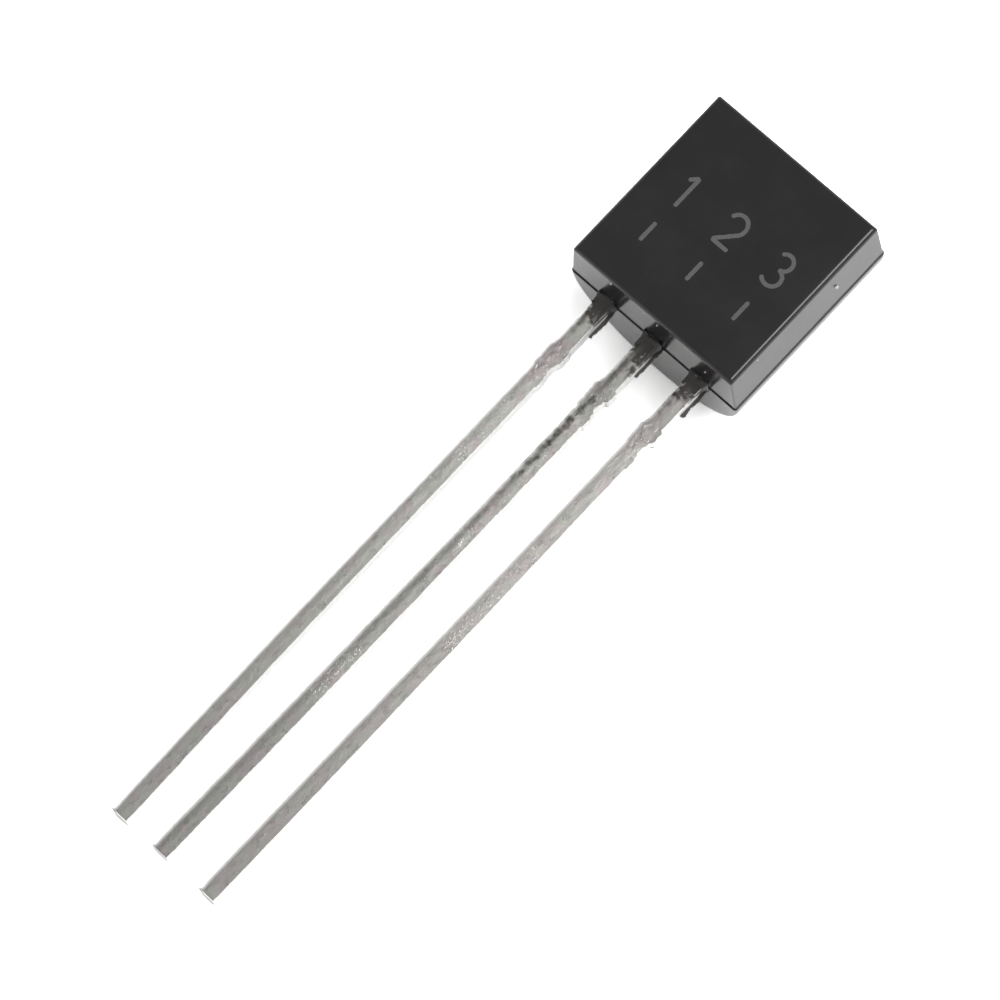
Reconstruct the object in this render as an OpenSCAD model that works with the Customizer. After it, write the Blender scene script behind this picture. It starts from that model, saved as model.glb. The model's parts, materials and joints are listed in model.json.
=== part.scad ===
// A small transistor in a moulded plastic case, with three flat leads, lying on a
// table. Millimetres.
//
// Every piece is drawn upright first: X runs across the leads, Y from the case's
// lead end to its top end, and Z out of the flat face. Z = 0 is the plane where the
// two halves of the mould part, and it is also the middle plane of the lead frame.
// lie_down() then tips the device onto its round back. The lead tips and the back
// touch the table, which is Z = 0 in the finished model.

/* [Case] */
// Width of the case; its back is a half circle of this width
case_w = 4.58; // [4.4:0.02:5.2]
// Length of the case at the parting plane, from its lead end to its top end
case_l = 4.56; // [4.4:0.02:5.4]
// Depth of the front half, from the parting plane to the flat face
front_depth = 1.48; // [1.2:0.02:1.8]
// Draft angle of the side walls of the front half
side_draft = 3.8; // [1:0.2:8]
// Draft angle of the end walls of the front half
front_end_draft = 2; // [0.6:0.2:6]
// Draft angle of the end walls of the round back half
back_end_draft = 1; // [0.2:0.1:1.5]
// Radius of the flat face's edges
edge_r = 0.1; // [0.06:0.01:0.2]
// Radius of the rims at both ends of the round back
rim_r = 0.08; // [0.04:0.01:0.08]
// Width of the ledge where the front half stands back from the back half
parting_ledge = 0.025; // [0.025:0.005:0.08]
// Width of the scar left at the top end where the plastic was let in
gate_w = 0.7; // [0.3:0.05:1.2]
// Depth of that scar, from the parting plane into the front half
gate_d = 0.3; // [0.15:0.05:0.6]
// Height of that scar above the top end wall
gate_h = 0.03; // [0.01:0.01:0.08]
// Thickness of the skin of plastic that crept out along each lead
creep_t = 0.025; // [0.015:0.005:0.05]
// Length of that skin, all round the lead
creep_l = 0.38; // [0.2:0.02:0.6]
// Length of the fin of plastic beside each lead, low on its right side
fin_l = 0.8; // [0.65:0.05:1.2]
// Width of that fin, from the lead's side
fin_w = 0.06; // [0.04:0.01:0.1]
// Thickness of that fin
fin_t = 0.05; // [0.03:0.01:0.08]
// Depth of that fin's top below the parting plane
fin_drop = 0.1; // [0.05:0.01:0.1]

/* [Leads outside the case] */
// Distance between the middles of neighbouring leads
lead_pitch = 1.27; // [1.15:0.01:1.4]
// Length of the leads, from the case to the tips
lead_l = 14.5; // [10:0.1:20]
// Thickness of the sheet that the leads are stamped from
lead_t = 0.38; // [0.3:0.01:0.5]
// Width of a lead's shank
lead_w = 0.42; // [0.3:0.01:0.45]
// Width of a lead between the case and the dam bar's stub
root_w = 0.44; // [0.38:0.01:0.5]
// Distance from the case to the stub left where the dam bar was cut away
stub_y = 1.4; // [1.25:0.05:4]
// Length of the stub along the lead
stub_l = 0.65; // [0.3:0.05:1]
// Width of the stub across the lead
stub_w = 0.5; // [0.5:0.01:0.6]
// Width of a lead at its tip, where the cutting blade pressed it narrower
tip_w = 0.39; // [0.3:0.01:0.45]
// Length over which a lead narrows to its tip
tip_l = 0.3; // [0.1:0.05:0.6]
// How far the left lead's tip has drifted to the right
left_drift = 0.06; // [-0.2:0.01:0.2]
// How far the middle lead's tip has drifted to the right
middle_drift = -0.09; // [-0.2:0.01:0.2]
// How far the right lead's tip has drifted to the right
right_drift = -0.05; // [-0.2:0.01:0.2]
// Length of the left lead that is still straight
left_straight = 7.5; // [4:0.5:9]

/* [Lead frame inside the case] */
// Plastic beside the lead frame, out to the case's full width
side_cover = 0.5; // [0.4:0.05:0.7]
// Plastic between the lead frame and the case's top end
top_cover = 0.75; // [0.5:0.05:1]
// Gap between neighbouring pieces of the lead frame
post_gap = 0.35; // [0.25:0.01:0.45]
// Distance from the case's lead end to the head of the base lead
base_head_y = 0.95; // [0.85:0.05:1.1]
// Length of the head of the base lead
base_head_l = 0.75; // [0.6:0.05:0.85]
// Width of the paddle that carries the die
paddle_w = 2; // [1.8:0.05:2.1]
// Length of the head of the emitter lead
emitter_head_l = 1.15; // [0.9:0.05:1.3]
// Radius of the half-round notches that key the leads into the plastic
notch_r = 0.1; // [0.05:0.01:0.12]
// Distance from the case's lead end to the middle of those notches
notch_y = 0.5; // [0.3:0.05:0.65]

/* [Die and bond wires] */
// Width and length of the silicon die
die_w = 0.42; // [0.3:0.02:0.5]
// Thickness of the silicon die
die_t = 0.2; // [0.1:0.01:0.3]
// Thickness of the silver paste under the die
paste_t = 0.02; // [0.01:0.01:0.04]
// Width of the paste that shows round the die
paste_rim = 0.04; // [0.02:0.01:0.08]
// Distance from the paddle's nearest edges to the middle of the die
die_inset = 0.5; // [0.35:0.05:0.7]
// Diameter of the gold bond wire
wire_d = 0.03; // [0.02:0.005:0.05]
// Diameter of the ball where a wire starts on the die
ball_d = 0.09; // [0.07:0.01:0.12]
// Height of that ball
ball_h = 0.04; // [0.02:0.01:0.06]
// Distance from the die's middle to a ball, along both of its sides
ball_offset = 0.1; // [0.06:0.01:0.14]
// Height of a wire's loop above its ball
loop_h = 0.28; // [0.15:0.01:0.4]
// Length of the flattened stitch where a wire ends on its lead
stitch_l = 0.08; // [0.05:0.01:0.12]
// Thickness of that stitch
stitch_t = 0.012; // [0.008:0.002:0.018]
// Distance from a lead head's nearest edge to the end of the stitch on it
stitch_inset = 0.4; // [0.25:0.05:0.5]

/* [Hidden] */

// Case
back_r = case_w / 2;
front_w = case_w - 2 * parting_ledge;
front_l = case_l - 2 * parting_ledge;
foot_d = 2 * parting_ledge;
back_sides = 192;
rim_steps = 8;
beyond = 1;

// Lead frame's top face, seen from the flat face
frame_top = lead_t / 2;

// The tilt at which the round back and the lead tips touch one plane: from a tip's
// lower corner to the middle of the rim's arc at the lead end, and down to the rim
tip_to_rim = [lead_l + rim_r, back_r - rim_r - frame_top];
tilt = atan2(tip_to_rim[1], tip_to_rim[0]) + asin(rim_r / norm(tip_to_rim));
tip_drop = lead_l * sin(tilt) + frame_top * cos(tilt);
tip_reach = lead_l * cos(tilt) + frame_top * sin(tilt);
top_reach = (case_l - rim_r) * cos(tilt) + (back_r - rim_r) * sin(tilt) + rim_r;

// Colours
epoxy_black = [0.17, 0.16, 0.16];
tinned_metal = [0.68, 0.67, 0.65];
silicon_grey = [0.35, 0.37, 0.42];
silver_paste = [0.8, 0.8, 0.78];
gold = [0.95, 0.75, 0.3];

// Lead frame
frame_edge = back_r - side_cover;
paddle_y = base_head_y + base_head_l + post_gap;
paddle_l = case_l - top_cover - paddle_y;
paddle_right = paddle_w - frame_edge;
emitter_head_x = paddle_right + post_gap;
emitter_head_w = frame_edge - emitter_head_x;
base_head_w = 2 * (lead_pitch - root_w / 2 - post_gap);
shank_steps = 8;

// Die and wires
die_x = paddle_right - die_inset;
die_y = paddle_y + die_inset;
die_top = frame_top + paste_t + die_t;
base_ball = [die_x - ball_offset, die_y - ball_offset];
emitter_ball = [die_x + ball_offset, die_y + ball_offset];
base_stitch = [base_ball[0], base_head_y + base_head_l - stitch_inset];
emitter_stitch = [emitter_head_x + stitch_inset, emitter_ball[1]];
wire_sides = 8;
wire_steps = 12;

// Lays a piece that is drawn upright on the table, with the device's middle over
// the origin
module lie_down() {
    translate([0, (tip_reach - top_reach) / 2, tip_drop])
        rotate([tilt, 0, 0])
            children();
}

// Outline of the front half along one of its sides: drafted walls, rounded edges at
// the flat face, and a straight foot that sinks into the back half
module front_outline(width, draft) {
    edge_inset = (front_depth - edge_r) * tan(draft) + edge_r / cos(draft);
    edge = [
        for (i = [0 : rim_steps])
            let (angle = draft + (90 - draft) * i / rim_steps)
                [
                    width / 2 - edge_inset + edge_r * cos(angle),
                    front_depth - edge_r + edge_r * sin(angle)
                ]
    ];
    right = concat([[width / 2, -foot_d], [width / 2, 0]], edge);
    left = [for (i = [len(right) - 1 : -1 : 0]) [-right[i][0], right[i][1]]];
    polygon(concat(right, left));
}

// Front half: the part that both of its outlines share
module front_half() {
    intersection() {
        translate([0, case_l, 0])
            rotate([90, 0, 0])
                linear_extrude(case_l)
                    front_outline(front_w, side_draft);
        translate([-back_r, case_l / 2, 0])
            rotate([90, 0, 90])
                linear_extrude(case_w)
                    front_outline(front_l, front_end_draft);
    }
}

// Half of the back half's outline along its axis, with both rims rounded
module rim_outline() {
    function rim_arc(middle_y, from) = [
        for (i = [0 : rim_steps])
            let (angle = from + 90 * i / rim_steps)
                [back_r - rim_r + rim_r * cos(angle), middle_y + rim_r * sin(angle)]
    ];
    polygon(concat(
        [[0, 0]],
        rim_arc(rim_r, 270),
        rim_arc(case_l - rim_r, 0),
        [[0, case_l]]
    ));
}

// Back half: half round, with end walls that lean in towards its lowest line
module back_half() {
    lean = back_r * tan(back_end_draft);
    intersection() {
        rotate([90, 0, 180])
            rotate_extrude($fn = back_sides)
                rim_outline();
        translate([-back_r - beyond, 0, 0])
            rotate([90, 0, 90])
                linear_extrude(case_w + 2 * beyond)
                    polygon([[0, 0], [lean, -back_r], [case_l - lean, -back_r], [case_l, 0]]);
    }
}

// Scar on the top end wall, next to the parting plane
module gate_scar() {
    translate([-gate_w / 2, case_l - beyond, 0])
        cube([gate_w, beyond + gate_h, gate_d]);
}

// Skin round one lead where it leaves the case, and the longer fin on its right
module lead_creep() {
    creep_w = root_w + 2 * creep_t;
    creep_d = lead_t + 2 * creep_t;
    root_depth = parting_ledge + creep_l;
    translate([-creep_w / 2, -creep_l, -creep_d / 2])
        cube([creep_w, creep_l + root_depth, creep_d]);
    translate([0, -fin_l, -fin_drop - fin_t])
        cube([root_w / 2 + fin_w, fin_l + root_depth, fin_t]);
}

// Solid case without the space that the lead frame fills
module case_form() {
    front_half();
    back_half();
    gate_scar();
    for (x = [-lead_pitch, 0, lead_pitch])
        translate([x, 0, 0])
            lead_creep();
}

// Sideways place of a lead at a distance from the case: straight at first, then
// curving off to its drift at the tip
function drifted(drift, straight, distance) =
    drift * pow(max(0, distance - straight) / (lead_l - straight), 2);

// Outline of one lead with its middle at X = 0 on the case, from the end of its stem
// inside the case to its tip. Each station is a distance from the case, which is
// negative inside it, and the lead's width there. A notch in each side keys the
// stem into the plastic.
module lead_outline(stem_l, drift, straight) {
    shank_start = stub_y + stub_l;
    shank_end = lead_l - tip_l;
    stations = concat(
        [[-stem_l, root_w], [stub_y, root_w], [stub_y, stub_w], [shank_start, stub_w]],
        [
            for (i = [0 : shank_steps])
                [shank_start + (shank_end - shank_start) * i / shank_steps, lead_w]
        ],
        [[lead_l, tip_w]]
    );
    last = len(stations) - 1;
    function edge_point(i, side) = [
        drifted(drift, straight, stations[i][0]) + side * stations[i][1] / 2,
        -stations[i][0]
    ];
    difference() {
        polygon(concat(
            [for (i = [0 : last]) edge_point(i, 1)],
            [for (i = [last : -1 : 0]) edge_point(i, -1)]
        ));
        for (side = [-1, 1])
            translate([side * root_w / 2, notch_y])
                circle(r = notch_r, $fn = 32);
    }
}

// One piece of the lead frame: the lead at x, and its own head
module frame_piece(x, stem_l, drift, straight) {
    color(tinned_metal)
        translate([0, 0, -frame_top]) {
            translate([x, 0, 0])
                linear_extrude(lead_t)
                    lead_outline(stem_l, drift, straight);
            linear_extrude(lead_t)
                children();
        }
}

// Left lead, with the paddle under the die
module collector_lead_upright() {
    frame_piece(-lead_pitch, paddle_y + root_w, left_drift, left_straight)
        difference() {
            translate([-frame_edge, paddle_y])
                square([paddle_w, paddle_l]);
            translate([-lead_pitch, paddle_y + paddle_l])
                circle(r = 2 * notch_r, $fn = 48);
        }
}

// Middle lead, with a wide head below the paddle
module base_lead_upright() {
    frame_piece(0, base_head_y + base_head_l / 2, middle_drift, 0)
        translate([-base_head_w / 2, base_head_y])
            square([base_head_w, base_head_l]);
}

// Right lead, with its head beside the die
module emitter_lead_upright() {
    frame_piece(lead_pitch, paddle_y + root_w, right_drift, 0)
        translate([emitter_head_x, paddle_y])
            square([emitter_head_w, emitter_head_l]);
}

// Block centred on the die's place, standing at a height
module die_block(width, height, z) {
    translate([die_x - width / 2, die_y - width / 2, z])
        cube([width, width, height]);
}

module silicon_die_upright() {
    color(silicon_grey)
        die_block(die_w, die_t, frame_top + paste_t);
}

module die_paste_upright() {
    color(silver_paste)
        die_block(die_w + 2 * paste_rim, paste_t, frame_top);
}

// Closed tube through rings of points, all with the same number of points
module skin(rings) {
    sides = len(rings[0]);
    last = len(rings) - 1;
    walls = [
        for (i = [0 : last - 1])
            for (j = [0 : sides - 1])
                let (a = i * sides + j, b = i * sides + (j + 1) % sides)
                    each [[a, b, a + sides], [b, b + sides, a + sides]]
    ];
    start_cap = [[for (j = [sides - 1 : -1 : 0]) j]];
    end_cap = [[for (j = [0 : sides - 1]) last * sides + j]];
    polyhedron([for (ring = rings) each ring], concat(start_cap, walls, end_cap));
}

// Point and direction on a wire's curve, in the upright plane of its loop
function curve_point(p, t) =
    pow(1 - t, 3) * p[0] + 3 * pow(1 - t, 2) * t * p[1]
    + 3 * (1 - t) * pow(t, 2) * p[2] + pow(t, 3) * p[3];
function curve_slope(p, t) =
    pow(1 - t, 2) * (p[1] - p[0]) + 2 * (1 - t) * t * (p[2] - p[1])
    + pow(t, 2) * (p[3] - p[2]);

// Ring of points across a wire: its middle, the way the wire runs there, and its
// half sizes across the loop's plane and in it, with a flat side downwards
function wire_ring(middle, along, across_r, upright_r) =
    let (step = 360 / wire_sides, way = along / norm(along))
        [
            for (j = [0 : wire_sides - 1])
                let (a = step * (j + 0.5), up = upright_r * cos(a))
                    [middle[0] - way[1] * up, across_r * sin(a), middle[1] + way[0] * up]
        ];

// Bond wire from a ball on the die to a flattened stitch on a lead's head
module bond_wire(ball, stitch) {
    run = stitch - ball;
    span = norm(run);
    post_z = frame_top - die_top;
    wire_r = wire_d / 2;
    ball_r = ball_d / 2;
    flat_r = cos(180 / wire_sides);
    stitch_z = post_z + stitch_t / 2 * flat_r;
    curve = [
        [0, ball_h],
        [0, ball_h + 1.4 * loop_h],
        [0.45 * span, ball_h + 1.1 * loop_h],
        [span - 2 * stitch_l, post_z + wire_r + stitch_t]
    ];
    loop = [
        for (i = [0 : wire_steps])
            let (t = i / wire_steps)
                wire_ring(curve_point(curve, t), curve_slope(curve, t), wire_r, wire_r)
    ];
    rings = concat(
        [
            wire_ring([0, 0], [0, 1], 0.8 * ball_r, 0.8 * ball_r),
            wire_ring([0, ball_h / 3], [0, 1], ball_r, ball_r),
            wire_ring([0, 2 / 3 * ball_h], [0, 1], ball_r, ball_r)
        ],
        loop,
        [
            wire_ring([span - stitch_l, stitch_z], [1, 0], wire_d, stitch_t / 2),
            wire_ring([span, stitch_z], [1, 0], wire_d, stitch_t / 2)
        ]
    );
    color(gold)
        translate([ball[0], ball[1], die_top])
            rotate([0, 0, atan2(run[1], run[0])])
                skin(rings);
}

module base_bond_wire_upright() {
    bond_wire(base_ball, base_stitch);
}

module emitter_bond_wire_upright() {
    bond_wire(emitter_ball, emitter_stitch);
}

// Case moulded round everything inside it
module mould_body() {
    color(epoxy_black)
        lie_down()
            difference() {
                case_form();
                collector_lead_upright();
                base_lead_upright();
                emitter_lead_upright();
                silicon_die_upright();
                die_paste_upright();
                base_bond_wire_upright();
                emitter_bond_wire_upright();
            }
}

module collector_lead() {
    lie_down()
        collector_lead_upright();
}

module base_lead() {
    lie_down()
        base_lead_upright();
}

module emitter_lead() {
    lie_down()
        emitter_lead_upright();
}

module silicon_die() {
    lie_down()
        silicon_die_upright();
}

module die_paste() {
    lie_down()
        die_paste_upright();
}

module base_bond_wire() {
    lie_down()
        base_bond_wire_upright();
}

module emitter_bond_wire() {
    lie_down()
        emitter_bond_wire_upright();
}

mould_body();
collector_lead();
base_lead();
emitter_lead();
silicon_die();
die_paste();
base_bond_wire();
emitter_bond_wire();
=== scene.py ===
import json
from dataclasses import dataclass
from math import acos, cos, hypot, pi, radians, sin, sqrt, tan

import bmesh
import bpy
from mathutils import Matrix, Vector, noise

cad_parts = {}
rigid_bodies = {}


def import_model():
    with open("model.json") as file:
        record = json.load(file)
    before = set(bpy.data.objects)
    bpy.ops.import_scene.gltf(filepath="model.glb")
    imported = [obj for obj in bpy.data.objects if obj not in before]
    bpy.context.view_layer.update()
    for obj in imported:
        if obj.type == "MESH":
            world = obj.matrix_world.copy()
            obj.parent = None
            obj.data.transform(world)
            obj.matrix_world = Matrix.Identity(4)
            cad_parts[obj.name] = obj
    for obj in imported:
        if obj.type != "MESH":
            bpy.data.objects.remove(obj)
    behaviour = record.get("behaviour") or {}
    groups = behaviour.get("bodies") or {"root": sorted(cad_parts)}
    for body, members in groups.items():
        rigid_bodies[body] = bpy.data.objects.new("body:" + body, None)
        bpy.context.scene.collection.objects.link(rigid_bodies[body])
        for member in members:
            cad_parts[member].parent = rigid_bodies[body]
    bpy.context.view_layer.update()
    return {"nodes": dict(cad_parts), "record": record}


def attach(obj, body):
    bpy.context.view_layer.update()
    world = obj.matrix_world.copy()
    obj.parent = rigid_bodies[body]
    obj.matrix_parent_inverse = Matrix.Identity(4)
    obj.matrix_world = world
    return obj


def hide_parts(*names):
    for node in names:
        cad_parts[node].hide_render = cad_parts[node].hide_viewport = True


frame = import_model()

# Sizes are in millimetres, on the device drawn upright: X across the leads, Y from the
# case's lead end to its top end, Z out of the flat face. Z = 0 is the parting plane of
# the mould and the middle of the lead frame. A distance down a lead counts from the case.
MM = 0.001

# Case
CASE_W = 4.58
CASE_L = 4.56
FRONT_DEPTH = 1.48
SIDE_DRAFT = radians(3.8)
FRONT_END_DRAFT = radians(2)
BACK_END_DRAFT = radians(1)
EDGE_R = 0.102
RIM_R = 0.08
CORNER_R = 0.045
LEDGE = 0.025
BACK_R = CASE_W / 2
FRONT_W = CASE_W - 2 * LEDGE
FRONT_L = CASE_L - 2 * LEDGE
GATE_W = 0.7
GATE_D = 0.3
GATE_H = 0.03
GATE_ROOT = 0.2
GATE_STEPS = 24

# Leads
PITCH = 1.27
LEAD_L = 14.5
LEAD_T = 0.38
SHANK_W = 0.42
ROOT_W = 0.44
TIP_W = 0.39
TIP_L = 0.3
FRAME_TOP = LEAD_T / 2

# Lead frame inside the case
SIDE_COVER = 0.5
TOP_COVER = 0.75
FRAME_EDGE = BACK_R - SIDE_COVER
BASE_HEAD_Y = 0.95
BASE_HEAD_L = 0.75
POST_GAP = 0.35
PADDLE_W = 2
PADDLE_Y = BASE_HEAD_Y + BASE_HEAD_L + POST_GAP
PADDLE_END = CASE_L - TOP_COVER
PADDLE_RIGHT = PADDLE_W - FRAME_EDGE
EMITTER_HEAD_X = PADDLE_RIGHT + POST_GAP
EMITTER_HEAD_L = 1.15
BASE_HEAD_HALF = PITCH - ROOT_W / 2 - POST_GAP
NOTCH_R = 0.1
NOTCH_Y = 0.5

# Skin of plastic that crept out along the leads. It starts inside the case, flares
# where it leaves the case, and closes over a core inside the lead.
CREEP_T = 0.025
CREEP_THINNING = 0.9
CREEP_L = 0.38
CREEP_SHARE = 0.6
CREEP_LEAST = 0.08
CREEP_ROOT = 0.35
CREEP_FLARE = 0.045
CREEP_FLARE_L = 0.14
CREEP_R = 0.03
CREEP_CORE = 0.8
CREEP_STEPS = 30
CREEP_FADE = 0.03

# Fins of plastic low on both sides of each lead
FIN_L = 0.8
FIN_W = 0.06
FIN_T = 0.05
FIN_DROP = 0.1
FIN_ROOT = 0.04
FIN_R = 0.012
FIN_STEPS = 60
LEFT_FIN_W = 0.035

# Pin numbers on the flat face
DIGIT_H = 0.78
DIGIT_Y = 2.1
STROKE_W = 0.09
TICK_Y = 1.1
TICK_L = 0.5
MARK_RAISE = 0.002
MARK_DEPTH = 0.01
STROKE_LIFT = 0.0004
STROKE_END = 0.006
STROKE_WAVE = 0.14

# The photograph's camera, fitted to the case's corners and the leads
CAMERA_PLACE = (0.02659693, -0.03149138, 0.10649487)
CAMERA_TURN = (21.520228, -1.270992, 43.186519)
CAMERA_LENS = 200
CAMERA_SENSOR = 36
CAMERA_CLIP = (0.01, 10)

# Light, where 1 is the level at which white renders as white
WORLD_LEVEL = 0.5
SKY_HORIZON = 1.0
SKY_ZENITH = 0.45
SKY_LOW = 0.2
SKY_HIGH = 0.9
KEY_DIRECTION = (0.3, 0.12, 0.93)
KEY_DISTANCE = 0.4
KEY_RADIUS = 0.12
KEY_WATTS = 0.9
FLOOR_SIZE = 2.0
FLOOR_WHITE = 0.85
FLOOR_SEEN = 2.4
FLOOR_MIRRORED = 1.52


# Places

def mount(name):
    """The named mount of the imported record."""
    return next(m for m in frame["record"]["mounts"] if m["name"] == name)


def upright_to_row():
    """Matrix from upright millimetres to the frame's metres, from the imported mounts."""
    out = Vector(mount("flat_front")["axis"]).normalized()
    along = -Vector(mount("lead_row")["axis"]).normalized()
    across = along.cross(out)
    start = Vector(mount("lead_row")["pos_m"]) + along * LEAD_L * MM
    turn = Matrix((across, along, out)).transposed().to_4x4()
    return Matrix.Translation(start) @ turn @ Matrix.Scale(MM, 4)


UPRIGHT = upright_to_row()


def smooth(t):
    """Smooth step from 0 to 1."""
    t = min(1.0, max(0.0, t))
    return t * t * (3 - 2 * t)


def ripple(point, size, seed=0.0):
    """Noise from about -1 to 1 with features of a size in millimetres."""
    return noise.noise(Vector((point[0] / size + seed, point[1] / size, point[2] / size)))


# Meshes

# Distances in millimetres within which points become one
WELD = 1e-5
FINE_WELD = 1e-7
JOIN_WELD = 1e-3


def loft(bm, rings):
    """Closed skin over rings of points that all have the same number of points."""
    rows = [[bm.verts.new(p) for p in ring] for ring in rings]
    count = len(rows[0])
    for low, high in zip(rows, rows[1:]):
        for i in range(count):
            j = (i + 1) % count
            bm.faces.new((low[i], low[j], high[j], high[i]))
    bm.faces.new(reversed(rows[0]))
    bm.faces.new(rows[-1])


def finish_mesh(bm, name, weld=WELD):
    """Welded mesh with its faces turned outwards."""
    bmesh.ops.remove_doubles(bm, verts=bm.verts, dist=weld)
    bmesh.ops.dissolve_degenerate(bm, edges=bm.edges, dist=weld)
    bmesh.ops.recalc_face_normals(bm, faces=bm.faces)
    mesh = bpy.data.meshes.new(name)
    bm.to_mesh(mesh)
    bm.free()
    return mesh


def new_object(name, mesh):
    """Object in the scene that shows a mesh."""
    piece = bpy.data.objects.new(name, mesh)
    bpy.context.scene.collection.objects.link(piece)
    return piece


def drop_pockets(bm):
    """Deletes triangles that lie back to back, which a weld can leave."""
    found = {}
    for face in bm.faces:
        found.setdefault(frozenset(face.verts), []).append(face)
    doubled = [face for same in found.values() if len(same) > 1 for face in same]
    bmesh.ops.delete(bm, geom=doubled, context="FACES")


def joined(name, base, others):
    """One closed mesh that is the union of a base mesh and others."""
    body = new_object(name, base)
    extra = bpy.data.collections.new(name + "_parts")
    for i, mesh in enumerate(others):
        extra.objects.link(bpy.data.objects.new(f"{name}_part_{i}", mesh))
    union = body.modifiers.new("union", "BOOLEAN")
    union.operation = "UNION"
    union.operand_type = "COLLECTION"
    union.collection = extra
    union.solver = "EXACT"
    graph = bpy.context.evaluated_depsgraph_get()
    result = bpy.data.meshes.new_from_object(body.evaluated_get(graph))
    for part in list(extra.objects):
        bpy.data.objects.remove(part)
    bpy.data.collections.remove(extra)
    bpy.data.objects.remove(body)
    bm = bmesh.new()
    bm.from_mesh(result)
    bmesh.ops.remove_doubles(bm, verts=bm.verts, dist=JOIN_WELD)
    bmesh.ops.dissolve_degenerate(bm, edges=bm.edges, dist=JOIN_WELD)
    bmesh.ops.triangulate(bm, faces=bm.faces)
    drop_pockets(bm)
    return finish_mesh(bm, name)


def place_piece(name, mesh, material, replaced=(), sharp=30):
    """Piece from an upright mesh: laid down, shaded, given its material and its body."""
    mesh.transform(UPRIGHT)
    mesh.polygons.foreach_set("use_smooth", [True] * len(mesh.polygons))
    mesh.set_sharp_from_angle(angle=radians(sharp))
    mesh.materials.clear()
    mesh.materials.append(material)
    piece = new_object(name, mesh)
    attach(piece, "root")
    if replaced:
        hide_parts(*replaced)
    return piece


# Case

CORNER_STEPS = 8
SIDE_STEPS = 110
FRONT_RIM_STEPS = 10
BACK_STEPS = 60
WALL_STEPS = 4
LIP_R = 0.01
LIP_STEPS = 5
EDGE_GAP = 0.02
CAP_SHRINK = 0.02

# Chips along the flat face's edge and along the parting ledge: depth, length and seed
RIM_CHIP = 0.004
RIM_CHIP_L = 0.07
RIM_SEED = 11
LEDGE_CHIP = 0.003
LEDGE_CHIP_L = 0.09
LEDGE_SEED = 3
CHIP_BIAS = 0.3
WALL_REACH = 2.02


def plan_ring(half_x, half_y, corner, z):
    """Closed outline of a case section at one depth, seen from the flat face. corner
    lists the points of one rounded corner as steps in from both sides."""
    points = []
    for sx, sy, flip in ((1, 1, False), (-1, 1, True), (-1, -1, False), (1, -1, True)):
        steps = reversed(corner) if flip else corner
        arc = [(sx * (half_x - dx), sy * (half_y - dy)) for dx, dy in steps]
        if points:
            points += side_points(points[-1], arc[0])
        points += arc
    points += side_points(points[-1], points[0])
    return [Vector((x, CASE_L / 2 + y, z)) for x, y in points]


def side_points(start, end):
    """Points between two corners, evenly spaced."""
    return [
        (
            start[0] + (end[0] - start[0]) * i / SIDE_STEPS,
            start[1] + (end[1] - start[1]) * i / SIDE_STEPS,
        )
        for i in range(1, SIDE_STEPS)
    ]


def round_corner(radius):
    """Steps of a quarter circle, from the side wall to the end wall."""
    angles = [pi / 2 * i / CORNER_STEPS for i in range(CORNER_STEPS + 1)]
    return [(radius * (1 - cos(a)), radius * (1 - sin(a))) for a in angles]


def front_ring(z):
    """Section of the front half at height z, with its draft and rounded edge."""
    def half(width, draft):
        """Half of the section's width at height z."""
        middle = FRONT_DEPTH - EDGE_R
        inset = middle * tan(draft) + EDGE_R / cos(draft)
        touch = middle + EDGE_R * sin(draft)
        if z <= touch:
            return width / 2 - z * tan(draft)
        return width / 2 - inset + rim_width(z)
    return plan_ring(half(FRONT_W, SIDE_DRAFT), half(FRONT_L, FRONT_END_DRAFT),
                     round_corner(CORNER_R), z)


def rim_width(z):
    """How far the flat face's rounded edge reaches past its middle line at height z."""
    rise = z - (FRONT_DEPTH - EDGE_R)
    return sqrt(max(0.0, EDGE_R ** 2 - rise ** 2))


def back_ring(z):
    """Section of the half-round back at depth z, with its rounded rims."""
    depth = -z
    reach = radians(90) if depth <= BACK_R - RIM_R else acos(
        min(1.0, (depth - BACK_R + RIM_R) / RIM_R))
    half_x = sqrt(max(0.0, BACK_R ** 2 - depth ** 2))
    corner = []
    for i in range(CORNER_STEPS + 1):
        angle = reach * i / CORNER_STEPS
        radius = BACK_R - RIM_R + RIM_R * cos(angle)
        x = sqrt(max(0.0, radius ** 2 - depth ** 2))
        corner.append((half_x - x, RIM_R * (1 - sin(angle))))
    half_y = CASE_L / 2 - depth * tan(BACK_END_DRAFT)
    return plan_ring(half_x, half_y, corner, z)


def chipped(ring, amount, size, seed):
    """Ring with its points moved in a little where chips have come off. A point moves
    square to its wall, and at a corner between both walls."""
    moved = []
    for p in ring:
        away = Vector((p.x / CASE_W, (p.y - CASE_L / 2) / CASE_L, 0))
        away = Vector((round(away.x * WALL_REACH), round(away.y * WALL_REACH), 0))
        if away.length:
            away.normalize()
        shift = amount * (ripple(p, size, seed) + 0.5 * ripple(p, size / 3, seed + 7))
        moved.append(p + away * min(0.0, shift - CHIP_BIAS * amount))
    return moved


def pulled_in(ring, amount):
    """Ring made smaller on all sides by an amount."""
    return [
        Vector((p.x * (1 - amount / BACK_R),
                CASE_L / 2 + (p.y - CASE_L / 2) * (1 - 2 * amount / CASE_L), p.z))
        for p in ring
    ]


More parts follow.
